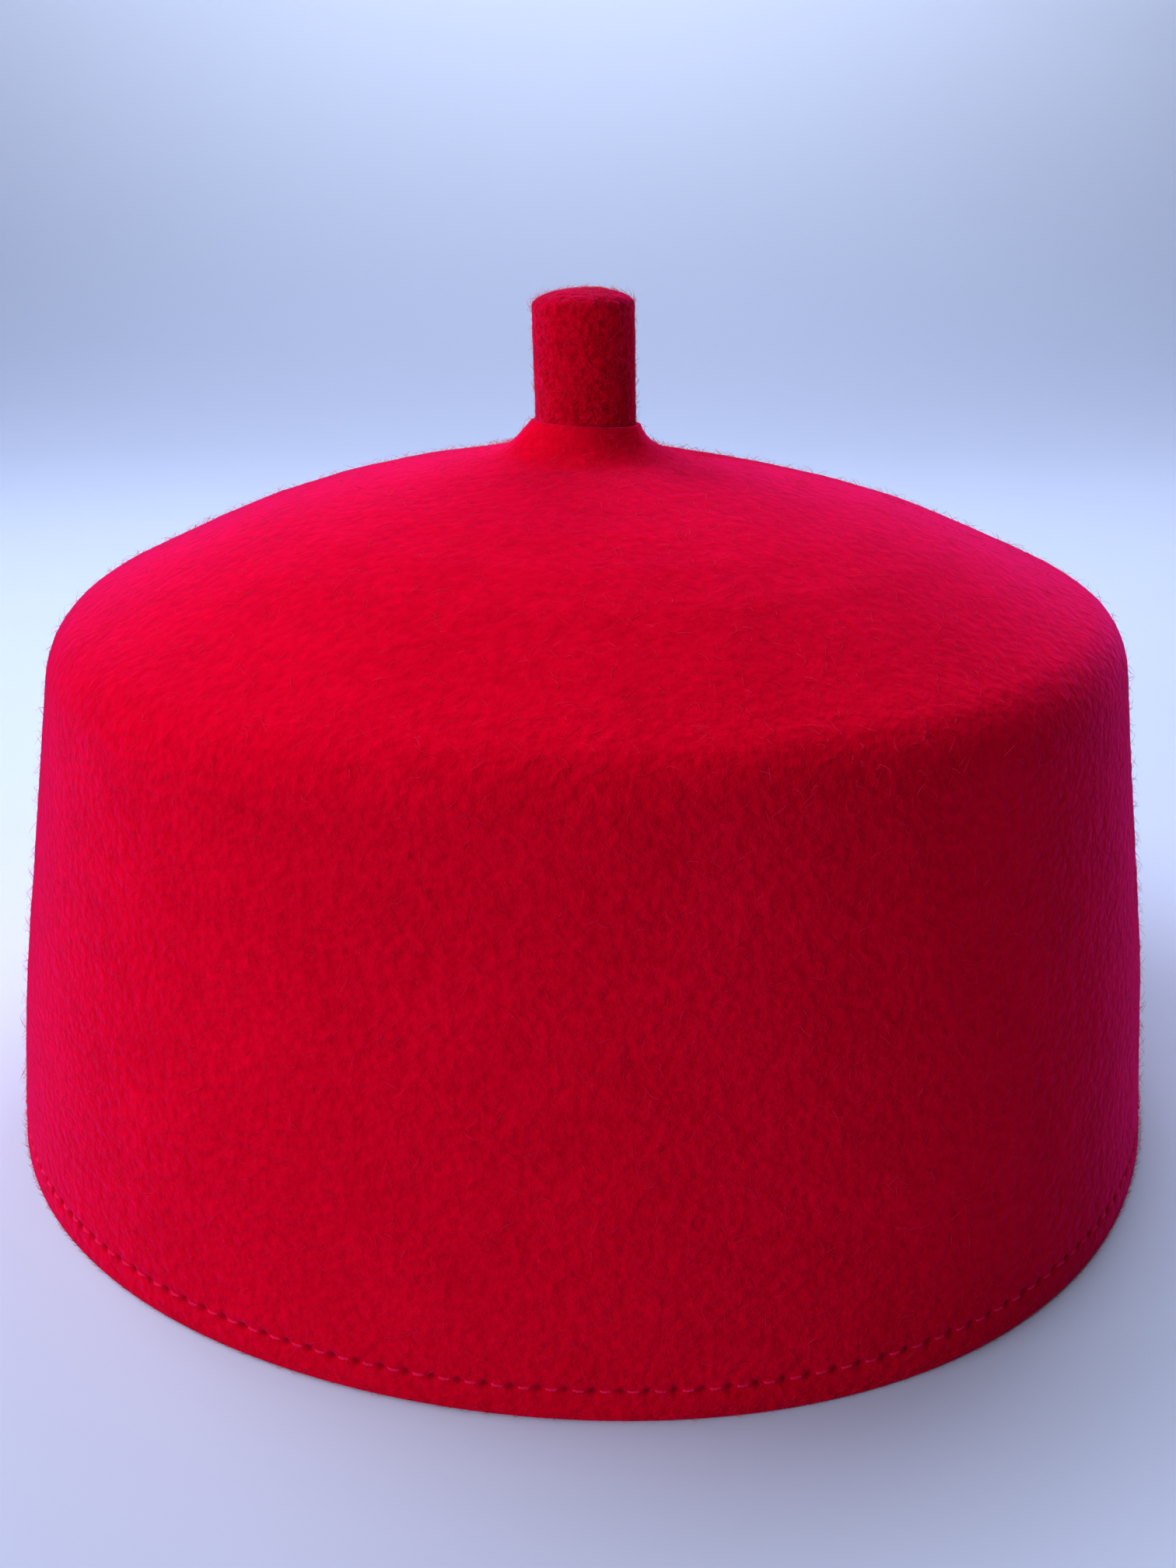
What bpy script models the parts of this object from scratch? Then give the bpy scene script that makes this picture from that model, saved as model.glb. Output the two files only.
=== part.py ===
"""Igbo cap: a blocked felt crown, open below, with a felt stem standing in the collar at its middle.

Units are metres and +Z is up. The cap stands on its rim at z = 0, with its front towards -Y, and the
origin is at the middle of its plan. Each piece is first made round its own axis, the stem's axis.
"""

import math

import bpy
from mathutils import Vector

# Driving dimensions
HEM_RADIUS = 0.0950        # outside of the felt at the rim
WALL_HEIGHT = 0.0792       # rim to the shoulder's corner, before it is rounded
DOME_RISE = 0.0222         # shoulder's corner to the foot of the collar
COLLAR_HEIGHT = 0.0040     # foot of the collar to its lip
COLLAR_SPREAD = 0.0052     # how far the foot of the collar reaches beyond its lip
COLLAR_ROUNDING = 0.0065   # hollow curve at the foot of the collar
COLLAR_LIP = 0.0004        # felt left round the mouth, where the collar is pared thin
FELT = 0.0025              # thickness of the felt
STEM_RADIUS = 0.0077       # straight part of the stem
STEM_RISE = 0.0176         # lip of the collar to the corner of the stem's end
STEM_DOME = 0.0024         # rise of the stem's end above that corner
STEM_LEAN = math.radians(1.5)      # lean of the stem to the left
SEAT_CLEARANCE = 0.0003    # gap between the stem and the mouth

# Corners of the wall's outer outline, from the rim upwards
# (corner, radius / HEM_RADIUS, height / WALL_HEIGHT, rounding / HEM_RADIUS)
WALL_CORNERS = (
    ("rim", 1.000, 0.000, 0.00),
    ("lower wall", 0.994, 0.063, 0.26),
    ("middle wall", 0.962, 0.350, 1.37),
    ("shoulder", 0.8635, 1.000, 0.113),
)

# Corners of the dome's outer outline
# (corner, radius / HEM_RADIUS, height above the shoulder / DOME_RISE, rounding / HEM_RADIUS)
DOME_CORNERS = (
    ("dome", 0.536, 0.640, 1.39),
)

# The felt was shaped by hand, so its plan isn't a true circle. Each row is a wave round the plan
# (lobes, height of the wave / radius, bearing of one lobe in degrees from +X towards +Y)
RIM_WAVES = (
    (1, 0.007, 0.0),
    (3, 0.003, 60.0),
    (4, 0.011, 34.0),
)
SHOULDER_WAVES = (
    (1, 0.006, 180.0),
    (3, 0.014, 0.0),
)
WAVE_START_SPAN = 0.263    # the waves grow from the collar's lip over this share of HEM_RADIUS

# Facets
SIDES_CROWN = 80
SIDES_STEM = 32
ARC_STEP = math.radians(9.0)       # turn of an outline from one facet to the next
DOME_STEPS = 6             # facets from the stem's middle to its corner
MERGE = 0.00001

FELT_RED = (0.52, 0.004, 0.035, 1.0)
STEM_RED = (0.42, 0.004, 0.030, 1.0)

MOUTH_RADIUS = STEM_RADIUS + SEAT_CLEARANCE
LIP_RADIUS = MOUTH_RADIUS + COLLAR_LIP
LIP_HEIGHT = WALL_HEIGHT + DOME_RISE + COLLAR_HEIGHT


def outer_corners():
    """Corners (radius, height, rounding) of the felt's outer face, from the rim up to the collar's lip."""
    corners = [
        (radius * HEM_RADIUS, height * WALL_HEIGHT, rounding * HEM_RADIUS)
        for _, radius, height, rounding in WALL_CORNERS
    ]
    corners += [
        (radius * HEM_RADIUS, WALL_HEIGHT + height * DOME_RISE, rounding * HEM_RADIUS)
        for _, radius, height, rounding in DOME_CORNERS
    ]
    corners.append((LIP_RADIUS + COLLAR_SPREAD, WALL_HEIGHT + DOME_RISE, COLLAR_ROUNDING))
    corners.append((LIP_RADIUS, LIP_HEIGHT, 0.0))
    return corners


def crossing(point_a, way_a, point_b, way_b):
    """Where two lines in the outline's plane cross."""
    across = way_a.x * way_b.y - way_a.y * way_b.x
    step = point_b - point_a
    return point_a + way_a * ((step.x * way_b.y - step.y * way_b.x) / across)


def inner_corners(outer):
    """Corners of the felt's inner face, FELT inside the outer one, from the rim up to the stem's mouth."""
    points = [Vector(corner[:2]) for corner in outer[:-1]]
    ways = [(b - a).normalized() for a, b in zip(points, points[1:])]
    starts = [a + Vector((-way.y, way.x)) * FELT for a, way in zip(points, ways)]
    floor = crossing(starts[0], ways[0], Vector((0.0, 0.0)), Vector((1.0, 0.0)))
    mouth = crossing(starts[-1], ways[-1], Vector((MOUTH_RADIUS, 0.0)), Vector((0.0, 1.0)))
    corners = [(floor.x, 0.0, 0.0)]
    for k in range(1, len(ways)):
        corner = crossing(starts[k - 1], ways[k - 1], starts[k], ways[k])
        corners.append((corner.x, corner.y, max(outer[k][2] - FELT, 0.0)))
    corners.append((mouth.x, mouth.y, 0.0))
    return corners


def rounded_path(corners):
    """Points of an outline whose corners are rounded by arcs that touch both their sides."""
    points = [Vector(corners[0][:2])]
    for before, corner, after in zip(corners, corners[1:], corners[2:]):
        middle = Vector(corner[:2])
        back = Vector(before[:2]) - middle
        on = Vector(after[:2]) - middle
        turn = math.pi - back.angle(on)
        reach = min(corner[2] * math.tan(turn / 2), 0.48 * back.length, 0.48 * on.length)
        steps = max(2, math.ceil(turn / ARC_STEP))
        start = middle + back.normalized() * reach
        end = middle + on.normalized() * reach
        weight = math.cos(turn / 2)
        for k in range(steps + 1):
            t = k / steps
            shares = ((1 - t) ** 2, 2 * t * (1 - t) * weight, t ** 2)
            total = sum(shares)
            points.append((start * shares[0] + middle * shares[1] + end * shares[2]) / total)
    points.append(Vector(corners[-1][:2]))
    return points


def wave_share(waves, bearing):
    """How far the plan stands out at a bearing, as a share of its radius."""
    return sum(
        share * math.cos(lobes * (bearing - math.radians(towards))) for lobes, share, towards in waves
    )


def hand_shaped(point):
    """Moves a point of the round crown to its place on the hand-shaped one."""
    radius = math.hypot(point.x, point.y)
    bearing = math.atan2(point.y, point.x)
    up = min(max(point.z / WALL_HEIGHT, 0.0), 1.0)
    grown = min(max((radius - LIP_RADIUS) / (WAVE_START_SPAN * HEM_RADIUS), 0.0), 1.0)
    share = wave_share(RIM_WAVES, bearing) * (1 - up) + wave_share(SHOULDER_WAVES, bearing) * up
    stretch = 1 + share * grown
    return Vector((point.x * stretch, point.y * stretch, point.z))


def felt_material(name, colour):
    """A rough, matt cloth finish."""
    material = bpy.data.materials.new(name)
    material.use_nodes = True
    shader = material.node_tree.nodes["Principled BSDF"]
    shader.inputs["Base Color"].default_value = colour
    shader.inputs["Roughness"].default_value = 0.95
    shader.inputs["Metallic"].default_value = 0.0
    return material


def turned(name, outline, closed, sides, collection):
    """Turns an outline of (radius, height) points, which runs down its outer side, round the Z axis."""
    edges = [(k, k + 1) for k in range(len(outline) - 1)]
    if closed:
        edges.append((len(outline) - 1, 0))
    mesh = bpy.data.meshes.new(name)
    mesh.from_pydata([(point.x, 0.0, point.y) for point in outline], edges, [])
    piece = bpy.data.objects.new(name, mesh)
    collection.objects.link(piece)
    screw = piece.modifiers.new("Turn", "SCREW")
    screw.axis = "Z"
    screw.angle = 2 * math.pi
    screw.steps = sides
    screw.render_steps = sides
    screw.use_merge_vertices = True
    screw.merge_threshold = MERGE
    return piece


def made_plain(piece):
    """Replaces a piece's mesh by its evaluated one and drops its modifiers."""
    bpy.context.view_layer.update()
    evaluated = piece.evaluated_get(bpy.context.evaluated_depsgraph_get())
    mesh = bpy.data.meshes.new_from_object(evaluated)
    mesh.name = piece.name
    outline = piece.data
    piece.modifiers.clear()
    piece.data = mesh
    bpy.data.meshes.remove(outline)


def shaded(piece, colour, sharp_above):
    """Gives a piece its material and smooth shading that keeps its hard edges."""
    piece.data.materials.clear()
    piece.data.materials.append(felt_material(piece.name + "_felt", colour))
    piece.data.shade_smooth()
    piece.data.set_sharp_from_angle(angle=sharp_above)


def make_crown(collection, inner):
    """The felt body: its outer face down to the rim, then its inner face up to the mouth."""
    outside = rounded_path(outer_corners())
    inside = rounded_path(inner)
    mouth_top = Vector((MOUTH_RADIUS, LIP_HEIGHT))
    crown = turned("crown", [mouth_top] + outside[::-1] + inside, True, SIDES_CROWN, collection)
    made_plain(crown)
    for vertex in crown.data.vertices:
        vertex.co = hand_shaped(vertex.co)
    shaded(crown, FELT_RED, math.radians(40))
    return crown


def make_stem(collection, foot_height):
    """A solid plug of felt, from the crown's inner face up to its domed end."""
    length = LIP_HEIGHT + STEM_RISE - foot_height
    outline = []
    for k in range(DOME_STEPS + 1):
        turn = 0.5 * math.pi * k / DOME_STEPS
        outline.append(Vector((STEM_RADIUS * math.sin(turn), length + STEM_DOME * math.cos(turn))))
    outline.append(Vector((STEM_RADIUS, 0.0)))
    outline.append(Vector((0.0, 0.0)))
    stem = turned("stem", outline, False, SIDES_STEM, collection)
    made_plain(stem)
    shaded(stem, STEM_RED, math.radians(60))
    return stem


def plan_middle(piece):
    """Middle of a piece's box, seen from above."""
    across = [vertex.co.x for vertex in piece.data.vertices]
    along = [vertex.co.y for vertex in piece.data.vertices]
    return Vector(((min(across) + max(across)) / 2, (min(along) + max(along)) / 2, 0.0))


def main():
    for piece in list(bpy.data.objects):
        bpy.data.objects.remove(piece)
    collection = bpy.data.collections.new("igbo_cap")
    bpy.context.scene.collection.children.link(collection)

    inner = inner_corners(outer_corners())
    foot_height = inner[-1][1]
    crown = make_crown(collection, inner)
    stem = make_stem(collection, foot_height)

    middle = plan_middle(crown)
    for vertex in crown.data.vertices:
        vertex.co -= middle
    # The stem leans about the middle of its seat, so that it stays clear of the mouth all round
    seat = Vector((0.0, 0.0, (LIP_HEIGHT - foot_height) / 2))
    lean = Vector((-math.sin(STEM_LEAN), 0.0, math.cos(STEM_LEAN)))
    stem.rotation_euler = (0.0, -STEM_LEAN, 0.0)
    stem.location = Vector((0.0, 0.0, foot_height)) - middle + seat - lean * seat.z


main()
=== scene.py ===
"""Red felt Igbo cap: its felt body, stem, stitches and nap, and the studio that shows it."""

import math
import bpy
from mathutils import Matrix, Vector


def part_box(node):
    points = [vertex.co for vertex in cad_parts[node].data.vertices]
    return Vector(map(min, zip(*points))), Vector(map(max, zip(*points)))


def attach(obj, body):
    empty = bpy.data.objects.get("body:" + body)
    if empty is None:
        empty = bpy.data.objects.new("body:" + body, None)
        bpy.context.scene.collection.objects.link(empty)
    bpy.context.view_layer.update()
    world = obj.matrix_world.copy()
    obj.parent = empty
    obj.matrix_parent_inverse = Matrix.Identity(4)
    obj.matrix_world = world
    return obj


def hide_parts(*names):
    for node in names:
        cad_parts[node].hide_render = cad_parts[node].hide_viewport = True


bl_info = {
    "name": "Felt Igbo Cap",
    "version": (1, 0, 0),
    "blender": (4, 5, 0),
    "location": "3D View > Sidebar > Igbo Cap",
    "description": "Makes a blocked felt cap with a stem, a stitched hem and a short nap",
    "category": "Object",
}

import bpy
from bpy.props import FloatProperty, FloatVectorProperty, IntProperty, PointerProperty
from mathutils import Matrix, Vector
from mathutils.bvhtree import BVHTree

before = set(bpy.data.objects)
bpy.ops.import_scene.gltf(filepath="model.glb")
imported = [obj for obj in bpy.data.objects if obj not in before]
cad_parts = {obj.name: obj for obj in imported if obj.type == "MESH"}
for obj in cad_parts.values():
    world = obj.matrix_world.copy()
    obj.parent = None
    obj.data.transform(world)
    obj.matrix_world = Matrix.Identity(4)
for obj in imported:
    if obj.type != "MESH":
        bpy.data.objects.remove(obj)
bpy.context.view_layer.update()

CROWN_LOW, CROWN_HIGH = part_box("crown")
STEM_LOW, STEM_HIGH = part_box("stem")
LIP_DEPTH = 1e-5           # the points of the fixed crown's lip lie within this of its top

# Corners of the wall's outer outline, from the rim upwards
# (radius / hem radius, height / wall height, rounding / hem radius)
WALL_CORNERS = (
    (0.994, 0.063, 0.26),      # low on the wall
    (0.962, 0.350, 1.37),      # middle of the wall
    (0.8635, 1.000, 0.113),    # shoulder
)
# Corner of the dome's outer outline
# (radius / hem radius, height above the shoulder / dome rise, rounding / hem radius)
DOME_CORNER = (0.536, 0.640, 1.39)

# The plan isn't a true circle. Each row is a wave round it
# (lobes, height of the wave / radius, bearing of one lobe in degrees from +X towards +Y)
RIM_WAVES = (
    (1, 0.007, 0.0),
    (3, 0.003, 60.0),
    (4, 0.011, 34.0),
)
SHOULDER_WAVES = (
    (1, 0.006, 180.0),
    (3, 0.014, 0.0),
)
WAVE_START_SPAN = 0.263    # the waves grow from the collar's lip over this share of the hem radius
LIP_RISE_BEARING = math.radians(245.0)     # where the collar's lip is highest

# Fineness of the felt's mesh
ARC_STEP = math.radians(5.0)
CORNER_REACH = 0.48        # share of a side that the rounding of one corner may take up
OUTLINE_STEP = 0.0002
NEARLY_NIL = 1e-7
ROW_TURN = math.radians(18.0)      # a new row starts after the outline has turned this far
STITCH_BAND = 0.0019       # half height of the band of small faces along the stitches
BAND_STEP = 0.00028
FACE_STEP = 0.0010
INSIDE_STEP = 0.0030
BAND_COLUMNS = 10          # columns for each stitch in that band
FACE_COLUMNS = 2
TOP_COLUMNS = 1
TOP_RADIUS = 0.045         # within this radius, the dome has the fewest columns
STEM_COLUMNS = 120
STEM_STEP = 0.0005
STEM_DOME_STEPS = 24

# Thread: a stitch's share of the pitch, and its two plies as shares of the thread
STITCH_SHARE = 0.58
PLY_OFFSET = 0.22
PLY_RADIUS = 0.29

# Nap: three kinds of fibre, bent left, bent right and nearly straight
# (side bend / the bend that is set, reach / the length that is set)
FIBRE_KINDS = ((-1.0, 0.9), (1.0, 0.8), (0.25, 1.0))
FIBRE_TAPER = 0.75         # share of its width that a fibre loses towards the tip
FIBRE_SIZES = (0.45, 1.2)
COMBED = (0.03, 0.02, 1.0)         # the way that fibres point before they spread
NAP_EDGE = 0.97            # the wall's nap ends at this share of the wall's height
STRAY_WIDTH = 1.35         # a stray fibre against a lying one
SHORT_STRAY = 0.75         # strays at the collar and stem against those on the crown
FUZZ_LENGTH = 0.55         # fuzz at the rim against them

# Sizes of the felt's grain in metres, and the depth of its relief
CROWN_GRAIN = {
    "Lump Size": 0.0016,
    "Fibre Width": 0.00034,
    "Fibre Length": 0.0030,
    "Grain Size": 0.00025,
    "Smoothness": 0.65,
}
STEM_GRAIN = {
    "Lump Size": 0.0011,
    "Fibre Width": 0.00028,
    "Fibre Length": 0.0020,
    "Grain Size": 0.00022,
    "Mottle Size": 0.0035,
    "Tone": 2.2,
}
CROWN_RELIEF = 0.0004
STEM_RELIEF = 0.0008
STEM_LUMP_SIZE = 0.0030
STEM_SHADE = 0.84          # how much darker the stem's felt is made than the crown's: partly its darker felt, partly painted shade for the bounced light that it lacks
SMOOTH_START = 0.92        # the grain starts to soften at this share of the wall's height
SMOOTH_END = 0.4           # and is softest at this share of the dome's rise
LUMP_SQUEEZE = (1.0, 1.0, 1.15)    # how much finer the lumps are along X, Y and Z
SHADED_HOLLOW_FROM, SHADED_HOLLOW_TO = 0.58, 0.80        # noise in which the patches of painted shade for the hollows between lumps lie
WANDER = 0.7               # bends of a fibre's path in one fibre length
FIBRE_TURNS = ((0.1, 0.1, 0.0), (0.75, 0.6, 0.0), (-0.6, -0.8, 0.0))
RIDGE = 6.0                # how sharp a fibre's ridge is
PIT_SHADE_TONE = 1.1             # how dark the painted shade in a needle hole is against its depth

# Plain values of the materials
FELT_FINISH = {
    "Roughness": 0.95,
    "Specular IOR Level": 0.0,
    "Sheen Weight": 0.70,
    "Sheen Roughness": 0.32,
    "Sheen Tint": (1.0, 0.03, 0.36, 1.0),
}
FIBRE_FINISH = {"Sheen Weight": 0.2, "Sheen Tint": (1.0, 0.05, 0.3, 1.0)}
THREAD_FINISH = {**FIBRE_FINISH, "Roughness": 0.55, "Specular IOR Level": 0.02}
LYING_FINISH = {**FIBRE_FINISH, "Roughness": 0.7, "Specular IOR Level": 0.10}
STRAY_FINISH = {**FIBRE_FINISH, "Roughness": 0.7, "Specular IOR Level": 0.02}
PAPER_FINISH = {"Roughness": 0.9, "Specular IOR Level": 0.1}

# Soft lights: (name, place, aim, size, watts, colour, cone in degrees)
CAP_MIDDLE = (0.0, 0.0, 0.06)
WHITE = (1.0, 0.99, 1.0)
LIGHTS = (
    ("key", (-0.88, -0.59, 0.345), CAP_MIDDLE, 0.5, 5.2, WHITE, 180.0),
    ("fill", (-0.39, -0.67, 0.84), CAP_MIDDLE, 0.5, 2.2, WHITE, 180.0),
    ("back_left", (-0.705, 0.33, 0.84), CAP_MIDDLE, 0.9, 3.0, WHITE, 80.0),
    ("back_right", (0.32, 0.80, 0.56), CAP_MIDDLE, 1.0, 3.1, (0.97, 0.99, 1.0), 80.0),
    ("backdrop_light", (0.0, 0.2, 1.4), (0.0, 1.1, 0.90), 0.6, 8.0, (1.0, 0.97, 0.88), 80.0),
)
AIR_COLOUR = (0.80, 0.86, 1.0, 1.0)
AIR_STRENGTH = 0.055
SWEEP_STEPS = 12           # faces in the bend between the floor and the wall behind

# Camera, at the viewing angle of the photograph
CAMERA_PLACE = (-0.00088, -0.23148, 0.14006)
CAMERA_LENS = 33.93
CAMERA_SENSOR = 36.0
CAMERA_NEAR = 0.01
CAMERA_DOWN = math.radians(22.19)
CAMERA_RIGHT = math.radians(0.23)
CAMERA_ROLL = math.radians(0.18)

# Node editor: places of the nodes
NODE_WIDTH = 200
NODE_HEIGHT = 220
NODES_IN_COLUMN = 5


def length(name, description, default):
    """A length in metres that the user can change."""
    return FloatProperty(name=name, description=description, default=default, precision=5, unit="LENGTH")


def number(name, description, default):
    """A whole number that the user can change."""
    return IntProperty(name=name, description=description, default=default)


def colour(name, description, default):
    """A colour that the user can change, in linear red, green and blue."""
    return FloatVectorProperty(
        name=name, description=description, default=default, subtype="COLOR", size=3, min=0.0, max=1.0
    )


class CapShape(bpy.types.PropertyGroup):
    """Sizes of the felt body and the stem."""

    hem_radius: length("Hem radius", "Outside of the felt at the rim", 0.0950)
    wall_height: length("Wall height", "From the rim to the shoulder's corner", 0.0792)
    dome_rise: length("Dome rise", "From the shoulder's corner to the foot of the collar", 0.0222)
    collar_spread: length("Collar spread", "How far the collar's foot reaches beyond its lip", 0.0040)
    collar_rounding: length("Collar rounding", "Hollow curve at the foot of the collar", 0.0150)
    collar_lip: length("Collar lip", "Felt round the mouth, beyond the seat of the stem", 0.0007)
    lip_rounding: length("Lip rounding", "Rounding of the collar's lip", 0.00028)
    collar_squeeze: length("Collar squeeze", "How far the collar's flank is pressed in at the right", 0.0007)
    lip_rise: length("Lip rise", "How much higher the lip stands at the front left", 0.0008)
    dome_lean: FloatProperty(
        name="Dome lean",
        description="How much higher the dome stands towards the left",
        default=0.018,
        precision=3,
    )
    felt: length("Felt", "Thickness of the felt", 0.0025)
    cut_rounding: length("Cut rounding", "Rounding of the cut edge at the rim", 0.0006)
    stem_radius: length("Stem radius", "Straight part of the stem", 0.0077)
    stem_dome: length("Stem dome", "Rise of the stem's end", 0.0024)
    stem_lean: FloatProperty(
        name="Stem lean",
        description="Lean of the stem to the left",
        default=math.radians(1.5),
        unit="ROTATION",
    )


class FeltSurface(bpy.types.PropertyGroup):
    """How uneven the felt is, and its nap."""

    lump_size: length("Lump size", "Breadth of the small lumps in the felt", 0.0045)
    lump_height: length("Lump height", "Height of the small lumps", 0.00009)
    swell_size: length("Swell size", "Breadth of the broad swells left by blocking", 0.030)
    swell_height: length("Swell height", "Height of the broad swells", 0.00030)
    fibre_width: length("Fibre width", "Thickness of a fibre", 0.00004)
    fibre_length: length("Fibre length", "Length of a lying fibre", 0.0026)
    stray_length: length("Stray length", "Length of a fibre that stands away from the felt", 0.0019)
    wall_fibres: number("Wall fibres", "Lying fibres on the wall", 7000)
    dome_fibres: number("Dome fibres", "Lying fibres on the dome", 2500)
    stem_fibres: number("Stem fibres", "Lying fibres on the stem", 1500)
    stray_fibres: number("Stray fibres", "Fibres that stand away from the crown", 8000)
    collar_strays: number("Collar strays", "Fibres that stand away from the collar", 900)
    stem_strays: number("Stem strays", "Fibres that stand away from the stem", 600)
    rim_fuzz: number("Rim fuzz", "Short fibres at the cut edge of the rim", 5000)


class StitchRow(bpy.types.PropertyGroup):
    """The row of machine stitches above the rim."""

    count: number("Stitches", "Stitches round the hem", 177)
    height: length("Height", "Row above the rim", 0.00446)
    thread: length("Thread", "Thickness of the thread", 0.00042)
    rise: length("Rise", "How far the thread stands out of the felt", 0.00008)
    dive: length("Dive", "How deep the thread goes in at its ends", 0.00060)
    pit_width: length("Pit width", "Breadth of the dimple at a needle hole", 0.00050)
    pit_depth: length("Pit depth", "Depth of the dimple at a needle hole", 0.00038)
    groove_width: length("Groove width", "Half height of the groove that the thread pulls", 0.0008)
    groove_depth: length("Groove depth", "Depth of that groove", 0.00010)


class CapColours(bpy.types.PropertyGroup):
    """Colours of the felt, the thread and the studio."""

    # The felt's light and dark tones; the dark one is also painted shade in the felt's low places
    felt_light: colour("Felt, raised", "Colour of the raised fibres", (0.76, 0.0004, 0.020))
    felt_dark_and_shade: colour("Felt, deep", "Colour between the fibres", (0.46, 0.0002, 0.009))
    fibre: colour("Fibre", "Colour of single fibres", (0.80, 0.010, 0.060))
    stray: colour("Stray fibre", "Colour of the fibres that stand away", (0.82, 0.014, 0.075))
    thread: colour("Thread", "Colour of the thread", (0.95, 0.010, 0.095))
    # Painted shade in the needle holes
    pit_and_shade: colour("Pit", "Colour in the needle holes", (0.26, 0.0, 0.007))
    backdrop: colour("Backdrop", "Colour of the floor and the sweep behind", (0.56, 0.66, 0.94))


SOCKET_TYPES = {float: "Float", int: "Int", tuple: "Vector"}


def new_tree(name, kind, inputs, outputs):
    """A node group. An input has a default, or else a name that is its type, such as Geometry."""
    tree = bpy.data.node_groups.new(name, kind)
    for label, default in inputs.items():
        socket_type = "NodeSocket" + SOCKET_TYPES.get(type(default), label)
        socket = tree.interface.new_socket(label, in_out="INPUT", socket_type=socket_type)
        if default is not None:
            socket.default_value = default
    for label, socket_type in outputs.items():
        tree.interface.new_socket(label, in_out="OUTPUT", socket_type="NodeSocket" + socket_type)
    return tree


class Nodes:
    """Adds nodes to a tree and joins them up."""

    def __init__(self, tree):
        self.tree = tree

    def add(self, kind, inputs=None, **settings):
        """Adds a node. Each of its inputs is given a value, or the output of another node."""
        node = self.tree.nodes.new(kind)
        column, row = divmod(len(self.tree.nodes) - 1, NODES_IN_COLUMN)
        node.location = (NODE_WIDTH * column, -NODE_HEIGHT * row)
        for name, value in settings.items():
            setattr(node, name, value)
        for key, value in (inputs or {}).items():
            if isinstance(value, bpy.types.NodeSocket):
                self.tree.links.new(value, node.inputs[key])
            else:
                node.inputs[key].default_value = value
        return node

    def out(self, kind, inputs=None, **settings):
        """First output of a new node."""
        return self.add(kind, inputs, **settings).outputs[0]

    def math(self, operation, *values):
        """Output of a Math node."""
        return self.out("ShaderNodeMath", dict(enumerate(values)), operation=operation)

    def plus(self, first, second):
        """Sum of two numbers."""
        return self.math("ADD", first, second)

    def minus(self, first, second):
        """One number less another."""
        return self.math("SUBTRACT", first, second)

    def times(self, product, *factors):
        """Product of numbers."""
        for factor in factors:
            product = self.math("MULTIPLY", product, factor)
        return product

    def vector(self, operation, *values):
        """Vector output of a Vector Math node."""
        return self.out("ShaderNodeVectorMath", dict(enumerate(values)), operation=operation)

    def scaled(self, vector, factor):
        """A vector times a number."""
        inputs = {"Vector": vector, "Scale": factor}
        return self.out("ShaderNodeVectorMath", inputs, operation="SCALE")

    def joined(self, x=0.0, y=0.0, z=0.0):
        """A vector from three numbers."""
        return self.out("ShaderNodeCombineXYZ", {0: x, 1: y, 2: z})

    def split(self, vector):
        """The three numbers of a vector."""
        return self.add("ShaderNodeSeparateXYZ", {0: vector}).outputs

    def smoothstep(self, value, low, high):
        """0 up to a low value and 1 from a high one, eased in between."""
        inputs = {"Value": value, "From Min": low, "From Max": high}
        return self.out("ShaderNodeMapRange", inputs, interpolation_type="SMOOTHSTEP")

    def noise(self, vector, size, seed, detail=2.0, roughness=0.5):
        """Noise from 0 to 1 whose lumps are about size wide."""
        scale = self.math("DIVIDE", 1.0, size)
        inputs = {"Vector": vector, "W": seed, "Scale": scale, "Detail": detail, "Roughness": roughness}
        return self.out("ShaderNodeTexNoise", inputs, noise_dimensions="4D")

    def bell(self, distance, width):
        """1 where a distance is 0, falling to nearly 0 past twice the width."""
        ratio = self.math("DIVIDE", distance, width)
        return self.math("EXPONENT", self.times(ratio, ratio, -1.0))

    def attribute(self, name, kind="FLOAT"):
        """A named attribute of the geometry."""
        return self.out("GeometryNodeInputNamedAttribute", {"Name": name}, data_type=kind)

    def facing(self, outward, along, spread, seed):
        """A turn that puts Z outward and X along a way, off by up to spread at random."""
        inputs = {"Primary Axis": outward, "Secondary Axis": along}
        straight = self.out("FunctionNodeAxesToRotation", inputs, primary_axis="Z", secondary_axis="X")
        inputs = {2: self.times(spread, -1.0), 3: spread, "Seed": seed}
        bearing = self.add("FunctionNodeRandomValue", inputs).outputs[1]
        inputs = {"Axis": (0.0, 0.0, 1.0), "Angle": bearing}
        spin = self.out("FunctionNodeAxisAngleToRotation", inputs)
        inputs = {"Rotation": straight, "Rotate By": spin}
        return self.out("FunctionNodeRotateRotation", inputs, rotation_space="LOCAL")

    def ends(self):
        """The tree's group input and group output."""
        return self.add("NodeGroupInput").outputs, self.add("NodeGroupOutput").inputs


def geometry_tree(name, inputs):
    """A modifier's tree: its node adder, and its group's input and output."""
    inputs = {"Geometry": None, **inputs, "Material": None}
    tree = new_tree(name, "GeometryNodeTree", inputs, {"Geometry": "Geometry"})
    tree.is_modifier = True
    n = Nodes(tree)
    return (n, *n.ends())


def finished(n, geometry, given, result):
    """Ends a modifier's tree: smooth, with its instances made real and its material set."""
    for step in ("SetShadeSmooth", "RealizeInstances", "SetMaterial"):
        geometry = n.out("GeometryNode" + step, {"Geometry": geometry})
    n.tree.links.new(given["Material"], geometry.node.inputs["Material"])
    n.tree.links.new(geometry, result[0])
    return n.tree


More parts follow.
